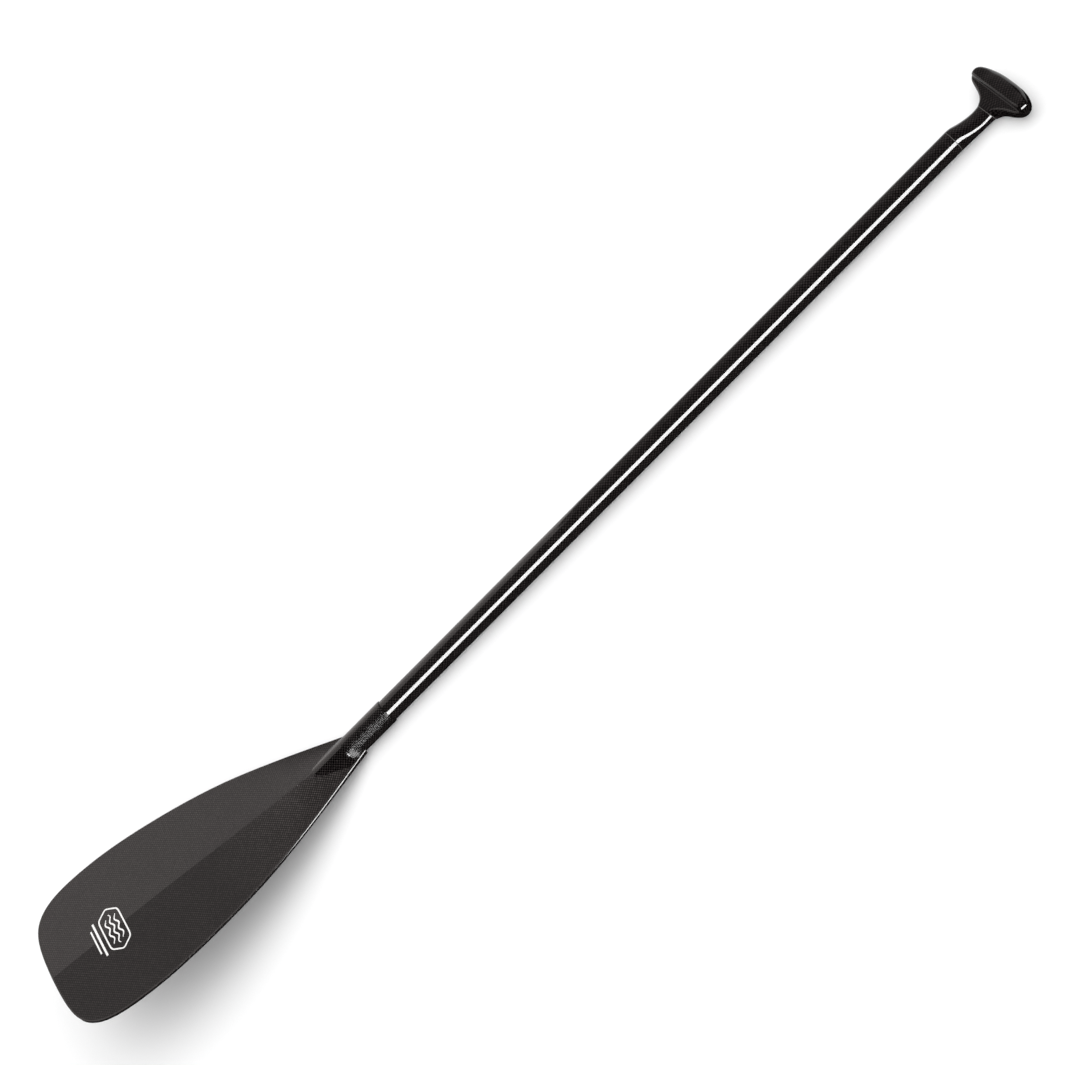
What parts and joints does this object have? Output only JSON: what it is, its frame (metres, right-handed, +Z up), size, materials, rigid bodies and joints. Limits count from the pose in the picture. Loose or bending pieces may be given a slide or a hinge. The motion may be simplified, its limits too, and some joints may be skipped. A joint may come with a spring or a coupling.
{
  "type": "bent-shaft canoe paddle",
  "caption": "Single-bladed bent-shaft canoe paddle with a creased carbon blade, sleeved neck, round hollow shaft and T-shaped palm grip.",
  "frame": {"origin": "middle of the paddle's length, on its centre plane, at floor level with the paddle lying hollow face up", "axes": "+X along the shaft towards the palm grip, +Y across the blade, +Z up, out of the hollow face"},
  "size_m": [1.3778, 0.1966, 0.0897],
  "materials": {
    "carbon_tube": "gloss",
    "carbon_braid": "gloss",
    "carbon_blade": "satin",
    "carbon_blade_power": "satin",
    "blade_edge": "gloss",
    "carbon_grip": "gloss",
    "epoxy_filler": "matte",
    "spar_foam": "matte",
    "foam": "matte",
    "glue": "gloss",
    "mark_film": "satin"
  },
  "bodies": {
    "root": {"shaft_tube": "carbon_tube", "neck_wrap": "carbon_braid", "neck_filler_back": "epoxy_filler", "neck_filler_power": "epoxy_filler", "blade_spar": "spar_foam", "spar_glue_sleeve": "glue", "blade_end_seal_plug": "foam", "blade_core_left": "foam", "blade_core_right": "foam", "blade_back_skin": "carbon_blade", "blade_power_skin": "carbon_blade_power", "blade_edge_band": "blade_edge", "blade_mark": "mark_film", "glue_line_shaft": "glue", "grip_neck_shell": "carbon_grip", "glue_line_palm": "glue", "grip_spigot": "spar_foam", "spigot_glue_sleeve": "glue", "grip_end_seal_plug": "foam", "grip_core": "foam", "grip_face_shell": "carbon_grip", "grip_rear_shell": "carbon_grip"}
  },
  "joints": []
}
